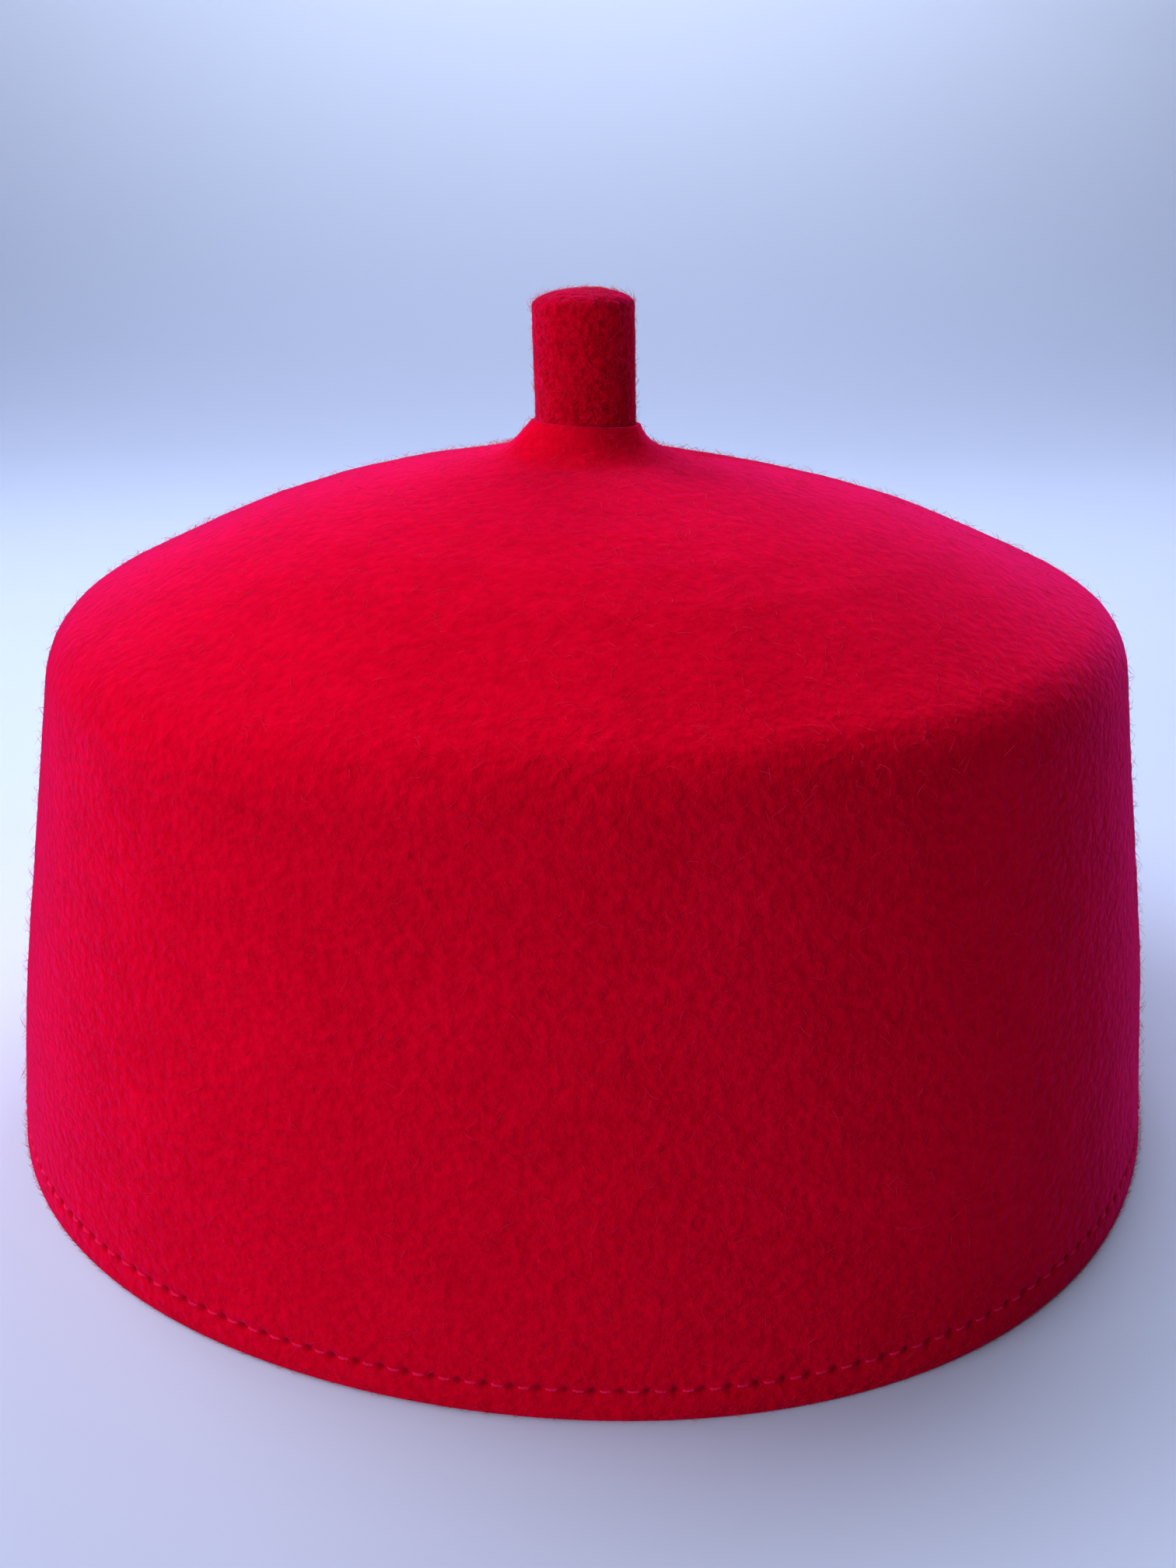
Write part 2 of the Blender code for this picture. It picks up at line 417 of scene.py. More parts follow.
def dressed(piece, tree, values):
    """Runs a geometry tree on a piece and keeps the result as the piece's plain mesh."""
    modifier = piece.modifiers.new(tree.name, "NODES")
    modifier.node_group = tree
    for item in tree.interface.items_tree:
        if item.item_type == "SOCKET" and item.in_out == "INPUT" and item.name in values:
            modifier[item.identifier] = values[item.name]
    bpy.context.view_layer.update()
    depsgraph = bpy.context.evaluated_depsgraph_get()
    mesh = bpy.data.meshes.new_from_object(
        piece.evaluated_get(depsgraph), preserve_all_data_layers=True, depsgraph=depsgraph
    )
    mesh.name = piece.name
    before = piece.data
    piece.modifiers.clear()
    piece.data = mesh
    bpy.data.meshes.remove(before)
    return piece


def new_piece(name, mesh):
    """A new object for a mesh, in the scene's collection."""
    piece = bpy.data.objects.new(name, mesh)
    bpy.context.scene.collection.objects.link(piece)
    return piece


# Outline of the felt, as (radius, height) in the plane of the cap's axis


def crossing(point_a, way_a, point_b, way_b):
    """Where two lines of the outline's plane cross."""
    across = way_a.x * way_b.y - way_a.y * way_b.x
    step = point_b - point_a
    return point_a + way_a * ((step.x * way_b.y - step.y * way_b.x) / across)


def outer_corners(shape):
    """Corners (radius, height, rounding) of the outer face, from the rim up to the foot of the collar."""
    hem = shape.hem_radius
    lip_radius = shape.stem_radius + shape.collar_lip
    corners = [(hem, 0.0, shape.cut_rounding)]
    corners += [(hem * r, shape.wall_height * h, hem * bend) for r, h, bend in WALL_CORNERS]
    r, h, bend = DOME_CORNER
    corners.append((hem * r, shape.wall_height + shape.dome_rise * h, hem * bend))
    foot = (lip_radius + shape.collar_spread, shape.wall_height + shape.dome_rise, shape.collar_rounding)
    return corners + [foot]


def inner_corners(shape, outer):
    """Corners of the inner face, one felt thickness inside the outer one, from the rim up to the mouth."""
    points = [Vector(corner[:2]) for corner in outer]
    ways = [(b - a).normalized() for a, b in zip(points, points[1:])]
    starts = [a + Vector((-way.y, way.x)) * shape.felt for a, way in zip(points, ways)]
    floor = crossing(starts[0], ways[0], Vector((0.0, 0.0)), Vector((1.0, 0.0)))
    mouth = crossing(starts[-1], ways[-1], Vector((shape.stem_radius, 0.0)), Vector((0.0, 1.0)))
    corners = [(floor.x, 0.0, shape.cut_rounding)]
    for k in range(1, len(ways)):
        corner = crossing(starts[k - 1], ways[k - 1], starts[k], ways[k])
        corners.append((corner.x, corner.y, max(outer[k][2] - shape.felt, 0.0)))
    corners.append((mouth.x, mouth.y, shape.lip_rounding))
    return corners


def rounded_path(corners):
    """Points of an outline whose corners are rounded by arcs that touch both their sides."""
    points = [Vector(corners[0][:2])]
    for before, corner, after in zip(corners, corners[1:], corners[2:]):
        middle = Vector(corner[:2])
        back = Vector(before[:2]) - middle
        on = Vector(after[:2]) - middle
        turn = math.pi - back.angle(on)
        reach = min(corner[2] * math.tan(turn / 2), CORNER_REACH * back.length, CORNER_REACH * on.length)
        steps = max(2, math.ceil(turn / ARC_STEP))
        start = middle + back.normalized() * reach
        end = middle + on.normalized() * reach
        weight = math.cos(turn / 2)
        for k in range(steps + 1):
            t = k / steps
            shares = ((1 - t) ** 2, 2 * t * (1 - t) * weight, t ** 2)
            points.append((start * shares[0] + middle * shares[1] + end * shares[2]) / sum(shares))
    points.append(Vector(corners[-1][:2]))
    return points


def evenly(points, step):
    """The same path with points no further apart than a step."""
    path = [points[0]]
    for a, b in zip(points, points[1:]):
        parts = max(1, math.ceil((b - a).length / step))
        path += [a.lerp(b, (k + 1) / parts) for k in range(parts)]
    return path


def felt_outline(shape):
    """The felt's closed outline: from inside the mouth over the lip, down the outside and up the inside."""
    outer = outer_corners(shape)
    inner = inner_corners(shape, outer)
    lip_height = CROWN_HIGH.z
    lip_radius = shape.stem_radius + shape.collar_lip
    seat = (shape.stem_radius, (lip_height + inner[-1][1]) / 2, 0.0)
    lip = [
        (shape.stem_radius, lip_height, shape.lip_rounding),
        (lip_radius, lip_height, shape.lip_rounding),
    ]
    return evenly(rounded_path([seat] + lip + outer[::-1] + inner + [seat]), OUTLINE_STEP)


def wave_share(waves, bearing):
    """How far the plan stands out at a bearing, as a share of its radius."""
    return sum(
        share * math.cos(lobes * (bearing - math.radians(towards))) for lobes, share, towards in waves
    )


def hand_shaped(point, shape):
    """Moves a point of the round crown to its place on the hand-shaped one."""
    radius = math.hypot(point.x, point.y)
    bearing = math.atan2(point.y, point.x)
    up = min(max(point.z / shape.wall_height, 0.0), 1.0)
    lip_radius = shape.stem_radius + shape.collar_lip
    grown = min(max((radius - lip_radius) / (WAVE_START_SPAN * shape.hem_radius), 0.0), 1.0)
    share = wave_share(RIM_WAVES, bearing) * (1 - up) + wave_share(SHOULDER_WAVES, bearing) * up
    dome = max(1 - radius / (WALL_CORNERS[-1][0] * shape.hem_radius), 0.0) * (up >= 1)
    near_lip = max(1 - (radius - lip_radius) / shape.collar_spread, 0.0)
    flank = max(1 - abs(2 * (radius - lip_radius) / shape.collar_spread - 1), 0.0)
    squeeze = shape.collar_squeeze * flank * (2 - flank) * (0.5 + 0.5 * math.cos(bearing))
    front_left = 0.5 + 0.5 * math.cos(bearing - LIP_RISE_BEARING)
    lift = shape.lip_rise * near_lip * front_left - shape.dome_lean * point.x * dome
    stretch = 1 + share * grown - squeeze / max(radius, lip_radius)
    return Vector((point.x * stretch, point.y * stretch, point.z + lift))


def cap_axis():
    """Where the stem's axis crosses the floor, from the round lip of the fixed crown."""
    lip = [v.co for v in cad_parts["crown"].data.vertices if v.co.z > CROWN_HIGH.z - LIP_DEPTH]
    across = [co.x for co in lip]
    along = [co.y for co in lip]
    return Vector(((min(across) + max(across)) / 2, (min(along) + max(along)) / 2, 0.0))


# Felt meshes, turned from their outline in rows round the axis


def felt_rows(path, plan):
    """Picks the rows of a turned mesh from its outline: (radius, height, columns, outside).

    plan(point, outside) gives the step to the next row and the number of columns there.
    """
    last_floor = max((k for k, p in enumerate(path) if p.y < NEARLY_NIL), default=len(path))
    rows = []
    travelled = turned = 0.0
    for k, point in enumerate(path[:-1]):
        outside = k <= last_floor
        if k:
            travelled += (point - path[k - 1]).length
            turned += (point - path[k - 1]).angle(path[k + 1] - point, 0.0)
        step, columns = plan(point, outside)
        if not rows or travelled >= step or turned >= ROW_TURN:
            rows.append((point.x, point.y, columns, float(outside)))
            travelled = turned = 0.0
    return rows


def strip(lower, lower_count, upper, upper_count):
    """Faces between two rows. Their column counts divide one another, and a count of 1 is a pole."""
    if upper_count == 1:
        return [(lower + k, lower + (k + 1) % lower_count, upper) for k in range(lower_count)]
    if lower_count == 1:
        return [(lower, upper + (k + 1) % upper_count, upper + k) for k in range(upper_count)]
    few = min(lower_count, upper_count)
    low_part, up_part = lower_count // few, upper_count // few
    faces = []
    for k in range(few):
        below = [lower + (k * low_part + i) % lower_count for i in range(low_part + 1)]
        above = [upper + (k * up_part + i) % upper_count for i in range(up_part + 1)]
        faces.append(below + above[::-1])
    return faces


def turned_mesh(name, rows, closed, place):
    """A mesh of rows turned round the axis, running down the outside. place moves each point."""
    points = []
    outsides = []
    starts = []
    for radius, height, columns, outside in rows:
        starts.append(len(points))
        for k in range(columns):
            bearing = 2 * math.pi * k / columns
            points.append(place(Vector((radius * math.cos(bearing), radius * math.sin(bearing), height))))
            outsides.append(outside)
    pairs = list(zip(range(len(rows)), range(1, len(rows))))
    if closed:
        pairs.append((len(rows) - 1, 0))
    faces = []
    for above, below in pairs:
        faces += strip(starts[below], rows[below][2], starts[above], rows[above][2])
    mesh = bpy.data.meshes.new(name)
    mesh.from_pydata(points, [], faces)
    mesh.attributes.new("outside", "FLOAT", "POINT").data.foreach_set("value", outsides)
    mesh.shade_smooth()
    return mesh


def felt_shaping():
    """Geometry nodes that give a felt piece its lumps and swells, and pull in its row of stitches."""
    inputs = {
        "Axis": (0.0, 0.0, 0.0),
        "Lump Size": 0.0045,
        "Lump Height": 0.0,
        "Swell Size": 0.030,
        "Swell Height": 0.0,
        "Calm Height": 0.002,
        "Stitches": 177.0,
        "Stitch Height": 0.0045,
        "Pit Width": 0.0004,
        "Pit Depth": 0.0,
        "Groove Width": 0.0008,
        "Groove Depth": 0.0,
        "Seed": 3.0,
    }
    n, given, result = geometry_tree("Felt shaping", inputs)
    position = n.out("GeometryNodeInputPosition")
    normal = n.out("GeometryNodeInputNormal")
    x, y, z = n.split(n.vector("SUBTRACT", position, given["Axis"]))

    # Distance along the row to the nearest needle hole, and up from the row
    radius = n.math("SQRT", n.plus(n.math("POWER", x, 2.0), n.math("POWER", y, 2.0)))
    turn = n.math("DIVIDE", n.math("ARCTAN2", y, x), 2 * math.pi)
    off_hole = n.minus(n.math("FRACT", n.plus(n.times(turn, given["Stitches"]), 0.5)), 0.5)
    pitch = n.math("DIVIDE", n.times(radius, 2 * math.pi), given["Stitches"])
    along = n.times(off_hole, pitch)
    up = n.minus(z, given["Stitch Height"])

    outside = n.attribute("outside")
    groove = n.times(n.bell(up, given["Groove Width"]), outside)
    pit_and_shade = n.times(n.bell(along, given["Pit Width"]), n.bell(up, given["Pit Width"]), outside)
    pulled = n.plus(n.times(pit_and_shade, given["Pit Depth"]), n.times(groove, given["Groove Depth"]))

    # Lumps and swells die out towards the cut edge, so that the rim stays flat
    calm = n.smoothstep(z, 0.0, given["Calm Height"])
    lump = n.minus(n.noise(position, given["Lump Size"], given["Seed"], detail=3.0, roughness=0.55), 0.5)
    swell = n.minus(n.noise(position, given["Swell Size"], given["Seed"], detail=1.0), 0.5)
    uneven = n.plus(n.times(lump, given["Lump Height"]), n.times(swell, given["Swell Height"]))
    offset = n.scaled(normal, n.minus(n.times(uneven, 2.0, calm), pulled))

    shaped = n.out("GeometryNodeSetPosition", {"Geometry": given["Geometry"], "Offset": offset})
    # The pit mask is kept for the material, which paints shade into the needle holes with it
    inputs = {"Geometry": shaped, "Name": "pit_and_shade", "Value": pit_and_shade}
    kept = n.out("GeometryNodeStoreNamedAttribute", inputs)
    return finished(n, kept, given, result)


def stitching():
    """Geometry nodes that put a twisted thread on each point, along its own direction."""
    inputs = {
        "Length": 0.0033,
        "Thread": 0.0004,
        "Rise": 0.0001,
        "Dive": 0.0006,
        "Twist": 7.0,
        "Unevenness": 0.06,
        "Seed": 5,
    }
    n, given, result = geometry_tree("Stitching", inputs)
    ply_offset = n.times(given["Thread"], PLY_OFFSET)
    ply_radius = n.times(given["Thread"], PLY_RADIUS)
    section = n.out("GeometryNodeCurvePrimitiveCircle", {"Resolution": 5, "Radius": ply_radius})
    share = n.out("GeometryNodeSplineParameter")
    side = n.minus(n.times(share, 2.0), 1.0)
    depth = n.times(n.math("POWER", side, 4.0), n.plus(given["Rise"], given["Dive"]))
    height = n.minus(given["Rise"], depth)
    start = n.joined(n.times(given["Length"], -0.5))
    end = n.joined(n.times(given["Length"], 0.5))
    line = n.out("GeometryNodeCurvePrimitiveLine", {"Start": start, "End": end})
    line = n.out("GeometryNodeResampleCurve", {"Curve": line, "Count": 8})
    join = n.add("GeometryNodeJoinGeometry")
    for phase in (0.0, math.pi):
        angle = n.plus(n.times(side, given["Twist"]), phase)
        across = n.times(n.math("SINE", angle), ply_offset)
        lifted = n.plus(n.times(n.math("COSINE", angle), ply_offset), height)
        inputs = {"Geometry": line, "Offset": n.joined(0.0, across, lifted)}
        ply = n.out("GeometryNodeSetPosition", inputs)
        tube = n.out("GeometryNodeCurveToMesh", {"Curve": ply, "Profile Curve": section, "Fill Caps": True})
        n.tree.links.new(tube, join.inputs[0])

    along = n.attribute("along", "FLOAT_VECTOR")
    outward = n.attribute("outward", "FLOAT_VECTOR")
    inputs = {
        "Points": given["Geometry"],
        "Instance": join.outputs[0],
        "Rotation": n.facing(outward, along, given["Unevenness"], given["Seed"]),
    }
    threads = n.out("GeometryNodeInstanceOnPoints", inputs)
    return finished(n, threads, given, result)


def napping():
    """Geometry nodes that scatter curved fibres over the outside of a felt piece."""
    inputs = {
        "Density": 100000.0,
        "From Height": 0.0,
        "To Height": 1.0,
        "Length": 0.0026,
        "Width": 0.00005,
        "Lift": 0.08,
        "Tip Lift": 0.0,
        "Bend": 0.3,
        "Spread": 1.2,
        "Parts": 3,
        "Seed": 1,
    }
    n, given, result = geometry_tree("Napping", inputs)
    thickness = n.times(given["Width"], 0.5)
    section = n.out("GeometryNodeCurvePrimitiveCircle", {"Resolution": 3, "Radius": thickness})
    share = n.out("GeometryNodeSplineParameter")
    taper = n.minus(1.0, n.times(n.math("POWER", share, 2.0), FIBRE_TAPER))
    mid_height = n.times(given["Length"], given["Lift"])
    tip_height = n.times(given["Length"], given["Tip Lift"])
    kinds = n.add("GeometryNodeJoinGeometry")
    for bend, reach in FIBRE_KINDS:
        side = n.times(given["Length"], given["Bend"], bend)
        middle = n.joined(n.times(given["Length"], 0.5 * reach), side, mid_height)
        tip = n.joined(n.times(given["Length"], reach), 0.0, tip_height)
        inputs = {"Resolution": given["Parts"], "Start": (0.0, 0.0, 0.0), "Middle": middle, "End": tip}
        line = n.out("GeometryNodeCurveQuadraticBezier", inputs)
        inputs = {"Curve": line, "Profile Curve": section, "Scale": taper, "Fill Caps": True}
        tube = n.out("GeometryNodeCurveToMesh", inputs)
        kind = n.out("GeometryNodeGeometryToInstance", {0: tube})
        n.tree.links.new(kind, kinds.inputs[0])

    height = n.split(n.out("GeometryNodeInputPosition"))[2]
    above = n.math("GREATER_THAN", height, given["From Height"])
    below = n.math("LESS_THAN", height, given["To Height"])
    density = n.times(n.times(above, below), n.times(n.attribute("outside"), given["Density"]))
    inputs = {"Mesh": given["Geometry"], "Density": density, "Seed": given["Seed"]}
    spots = n.add("GeometryNodeDistributePointsOnFaces", inputs).outputs
    low, high = FIBRE_SIZES
    inputs = {2: low, 3: high, "Seed": n.plus(given["Seed"], 1)}
    size = n.add("FunctionNodeRandomValue", inputs).outputs[1]
    inputs = {4: 0, 5: len(FIBRE_KINDS) - 1, "Seed": n.plus(given["Seed"], 2)}
    choice = n.add("FunctionNodeRandomValue", inputs, data_type="INT").outputs[2]
    inputs = {
        "Points": spots["Points"],
        "Instance": kinds.outputs[0],
        "Pick Instance": True,
        "Instance Index": choice,
        "Rotation": n.facing(spots["Normal"], COMBED, given["Spread"], given["Seed"]),
        "Scale": size,
    }
    fibres = n.out("GeometryNodeInstanceOnPoints", inputs)
    return finished(n, fibres, given, result)


# Finishes


def felt_grain():
    """Shader group for matted wool: a mask of the felt's tone, which also paints shade into its low places,
    and the height of the surface.
    """
    name = "Felt grain"
    if name in bpy.data.node_groups:
        return bpy.data.node_groups[name]
    inputs = {
        "Lump Size": 0.0017,
        "Fibre Width": 0.00036,
        "Fibre Length": 0.0040,
        "Grain Size": 0.00025,
        "Mottle Size": 0.0090,
        "Smooth From": 1.0,
        "Smooth To": 2.0,
        "Smoothness": 0.5,
        "Tone": 1.0,
        "Seed": 1.0,
    }
    n = Nodes(new_tree(name, "ShaderNodeTree", inputs, {"Raised": "Float", "Height": "Float"}))
    given, result = n.ends()
    place = n.add("ShaderNodeTexCoord").outputs["Object"]
    seed = given["Seed"]

    # The fibres wander, so the place that they are read from is pushed about
    inputs = {"Vector": place, "Scale": n.math("DIVIDE", WANDER, given["Fibre Length"]), "Detail": 2.0}
    push = n.add("ShaderNodeTexNoise", inputs, noise_dimensions="3D").outputs["Color"]
    push = n.scaled(n.vector("SUBTRACT", push, (0.5, 0.5, 0.5)), given["Fibre Length"])
    wandering = n.vector("ADD", place, push)

    lumps = n.noise(n.vector("MULTIPLY", place, LUMP_SQUEEZE), given["Lump Size"], seed, detail=1.5)
    grain = n.noise(place, given["Grain Size"], seed, roughness=0.6)
    mottle = n.noise(place, given["Mottle Size"], n.plus(seed, 20.0), detail=1.0)
    # Patches of painted shade, standing for hollows between the lumps
    shaded_hollows = n.noise(place, given["Lump Size"], n.plus(seed, 30.0), detail=1.0)
    shaded_hollows = n.smoothstep(shaded_hollows, SHADED_HOLLOW_FROM, SHADED_HOLLOW_TO)
    flattened = n.joined(1.0, 1.0, n.math("DIVIDE", given["Fibre Width"], given["Fibre Length"]))
    strands = 0.0
    for k, turn in enumerate(FIBRE_TURNS):
        turned = n.out("ShaderNodeMapping", {"Vector": wandering, "Rotation": turn})
        stretched = n.vector("MULTIPLY", turned, flattened)
        wave = n.noise(stretched, given["Fibre Width"], n.plus(seed, 10.0 + k), detail=1.0)
        ridge = n.minus(1.0, n.times(n.math("ABSOLUTE", n.minus(wave, 0.5)), RIDGE))
        strands = n.math("MAXIMUM", ridge, strands)

    # Each part's tone is darker where its relief is low, which paints shade into the felt's low places; the
    # mottle is the felt's own uneven tone, and the hollows are patches of painted shade.
    # (part, its middle, its share of the tone, its share of the relief)
    parts = (
        (lumps, 0.5, 0.9, 1.25),
        (strands, 0.5, 0.12, 0.02),
        (grain, 0.5, 0.40, 0.25),
        (mottle, 0.5, 0.5, 0.0),
        (shaded_hollows, 0.0, -0.22, 0.0),
    )
    raised = 0.0
    height = 0.5
    for part, middle, tone, relief in parts:
        centred = n.minus(part, middle)
        raised = n.plus(n.times(centred, tone), raised)
        height = n.plus(n.times(centred, relief), height)
    raised = n.plus(n.times(raised, given["Tone"]), 0.5)
    raised = n.out("ShaderNodeClamp", {"Value": raised})
    smooth = n.smoothstep(n.split(place)[2], given["Smooth From"], given["Smooth To"])
    kept = n.minus(1.0, n.times(smooth, given["Smoothness"]))
    n.tree.links.new(raised, result["Raised"])
    n.tree.links.new(n.times(height, kept), result["Height"])
    return n.tree


def new_material(name, finish):
    """A material with its node adder and its Principled shader, whose plain values are set."""
    material = bpy.data.materials.new(name)
    material.use_nodes = True
    shader = material.node_tree.nodes["Principled BSDF"]
    for key, value in finish.items():
        shader.inputs[key].default_value = value
    return material, Nodes(material.node_tree), shader


def mixed(n, factor, low, high):
    """Output of a colour mix, from low at 0 to high at 1. A colour is three numbers or another output."""
    inputs = {0: factor}
    for key, value in ((6, low), (7, high)):
        inputs[key] = value if isinstance(value, bpy.types.NodeSocket) else (*value, 1.0)
    return n.add("ShaderNodeMix", inputs, data_type="RGBA").outputs[2]


def felt_material(name, colours, shade, relief, sizes):
    """Matted red wool: painted shade between the fibres and in the needle pits, with a soft sheen of fibre
    ends.
    """
    material, n, shader = new_material(name, FELT_FINISH)
    grain = n.add("ShaderNodeGroup", sizes, node_tree=felt_grain()).outputs
    # Painted shade in the needle holes, from the stored pit mask
    pit_and_shade = n.add("ShaderNodeAttribute", attribute_name="pit_and_shade").outputs["Fac"]
    pit_and_shade = n.out("ShaderNodeClamp", {"Value": n.times(pit_and_shade, PIT_SHADE_TONE)})
    # The shade factor darkens the whole felt, partly painted shade on the stem; the grain's mask mixes the
    # dark and light felt, which paints shade into the low places
    deep = [shade * part for part in colours.felt_dark_and_shade]
    light = [shade * part for part in colours.felt_light]
    red = mixed(n, pit_and_shade, mixed(n, grain["Raised"], deep, light), colours.pit_and_shade)
    inputs = {"Strength": 1.0, "Distance": relief, "Height": grain["Height"]}
    bump = n.out("ShaderNodeBump", inputs)
    n.tree.links.new(red, shader.inputs["Base Color"])
    n.tree.links.new(bump, shader.inputs["Normal"])
    return material


def uneven_material(name, tone, low, size, seed, detail, finish):
    """A material whose colour goes from low times its tone up to its tone, in soft patches."""
    material, n, shader = new_material(name, finish)
    place = n.add("ShaderNodeTexCoord").outputs["Object"]
    uneven = n.noise(place, size, seed, detail)
    n.tree.links.new(mixed(n, uneven, [low * part for part in tone], tone), shader.inputs["Base Color"])
    return material


def fibre_material(name, red, finish):
    """A single dyed fibre or thread, a little uneven along its length."""
    return uneven_material(name, red, low=0.6, size=0.0012, seed=4.0, detail=2.0, finish=finish)


def settled(piece, slot):
    """Makes a finished piece part of the cap."""
    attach(piece, "root")
    return piece


class CAP_OT_crown(bpy.types.Operator):
    """Makes the felt body: rim, wall, shoulder, dome and collar in one shell"""

    bl_idname = "cap.crown"
    bl_label = "Felt Crown"

    def execute(self, context):
        shape, surface, row = context.scene.cap_shape, context.scene.cap_surface, context.scene.cap_stitches
        axis = cap_axis()

        def plan(point, outside):
            if not outside:
                return INSIDE_STEP, row.count
            if abs(point.y - row.height) < STITCH_BAND and point.x > shape.hem_radius / 2:
                return BAND_STEP, row.count * BAND_COLUMNS
            if point.x > TOP_RADIUS:
                return FACE_STEP, row.count * FACE_COLUMNS
            return FACE_STEP, row.count * TOP_COLUMNS

        rows = felt_rows(felt_outline(shape), plan)
        mesh = turned_mesh("crown_felt", rows, True, lambda point: hand_shaped(point, shape) + axis)
        crown = new_piece("crown_felt", mesh)
        grain = {
            **CROWN_GRAIN,
            "Smooth From": SMOOTH_START * shape.wall_height,
            "Smooth To": shape.wall_height + SMOOTH_END * shape.dome_rise,
        }
        material = felt_material("crown_felt", context.scene.cap_colours, 1.0, CROWN_RELIEF, grain)
        values = {
            "Axis": axis,
            "Lump Size": surface.lump_size,
            "Lump Height": surface.lump_height,
            "Swell Size": surface.swell_size,
            "Swell Height": surface.swell_height,
            "Stitches": float(row.count),
            "Stitch Height": row.height,
            "Pit Width": row.pit_width,
            "Pit Depth": row.pit_depth,
            "Groove Width": row.groove_width,
            "Groove Depth": row.groove_depth,
            "Material": material,
        }
        settled(dressed(crown, felt_shaping(), values), "crown_felt")
        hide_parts("crown")
        return {"FINISHED"}


class CAP_OT_stem(bpy.types.Operator):
    """Makes the felt stem that stands in the collar"""

    bl_idname = "cap.stem"
    bl_label = "Felt Stem"

    def execute(self, context):
        shape, surface = context.scene.cap_shape, context.scene.cap_surface
        foot = STEM_LOW.z + shape.stem_radius * math.sin(shape.stem_lean)
        height = STEM_HIGH.z - foot - shape.stem_dome
        end = [
            Vector((shape.stem_radius * math.sin(turn), height + shape.stem_dome * math.cos(turn)))
            for turn in (0.5 * math.pi * k / STEM_DOME_STEPS for k in range(STEM_DOME_STEPS + 1))
        ]
        path = evenly(end + [Vector((shape.stem_radius, 0.0)), Vector((0.0, 0.0))], OUTLINE_STEP)

        def plan(point, outside):
            return STEM_STEP, STEM_COLUMNS if point.x > NEARLY_NIL else 1

        rows = felt_rows(path, plan)
        rows = [(*row[:3], 1.0) for row in rows] + [(0.0, 0.0, 1, 1.0)]
        middle = (CROWN_HIGH.z - foot) / 2
        lean = Matrix.Rotation(-shape.stem_lean, 3, "Y")
        seat = cap_axis() + Vector((0.0, 0.0, foot + middle))

        def place(point):
            return seat + lean @ (point - Vector((0.0, 0.0, middle)))

        stem = new_piece("stem_felt", turned_mesh("stem_felt", rows, False, place))
        material = felt_material("stem_felt", context.scene.cap_colours, STEM_SHADE, STEM_RELIEF, STEM_GRAIN)
        values = {
            "Lump Size": STEM_LUMP_SIZE,
            "Lump Height": surface.lump_height,
            "Seed": 8.0,
            "Material": material,
        }
        settled(dressed(stem, felt_shaping(), values), "stem_felt")
        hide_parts("stem")
        return {"FINISHED"}


def stitch_points(crown, row, inside):
    """Middles of the stitches on one face of the felt, with the way along the row and out of the felt."""
    surface = BVHTree.FromPolygons(
        [v.co for v in crown.data.vertices], [tuple(p.vertices) for p in crown.data.polygons]
    )
    axis = cap_axis() + Vector((0.0, 0.0, row.height))
    far = 2 * (CROWN_HIGH.x - CROWN_LOW.x)
    points, ways, outs = [], [], []
    for k in range(row.count):
        bearing = 2 * math.pi * (k + 0.5) / row.count
        way = Vector((math.cos(bearing), math.sin(bearing), 0.0))
        start = axis if inside else axis + way * far
        point, normal, _, _ = surface.ray_cast(start, way if inside else -way)
        points.append(point)
        outs.extend(normal)
        ways.extend(Vector((0.0, 0.0, 1.0)).cross(normal).normalized())
    mesh = bpy.data.meshes.new("stitch_middles")
    mesh.from_pydata(points, [], [])
    mesh.attributes.new("along", "FLOAT_VECTOR", "POINT").data.foreach_set("vector", ways)
    mesh.attributes.new("outward", "FLOAT_VECTOR", "POINT").data.foreach_set("vector", outs)
    return mesh


class CAP_OT_stitches(bpy.types.Operator):
    """Sews the row of stitches above the rim, on both faces of the felt"""

    bl_idname = "cap.stitches"
    bl_label = "Hem Stitches"

    def execute(self, context):
        row = context.scene.cap_stitches
        crown = bpy.data.objects["crown_felt"]
        tree = stitching()
        values = {
            "Length": STITCH_SHARE * (2 * math.pi * context.scene.cap_shape.hem_radius / row.count),
            "Thread": row.thread,
            "Rise": row.rise,
            "Dive": row.dive,
            "Material": fibre_material("hem_thread", context.scene.cap_colours.thread, THREAD_FINISH),
        }
        for name, inside in (("hem_stitches", False), ("hem_stitches_inside", True)):
            stitches = new_piece(name, stitch_points(crown, row, inside))
            settled(dressed(stitches, tree, values), "crown_felt")
        return {"FINISHED"}


def surface_area(mesh, low, high):
    """Area of a mesh's outside faces whose middle lies between two heights."""
    outside = [0.0] * len(mesh.vertices)
    mesh.attributes["outside"].data.foreach_get("value", outside)
    return sum(
        face.area for face in mesh.polygons if low < face.center.z < high and outside[face.vertices[0]] > 0.5
    )


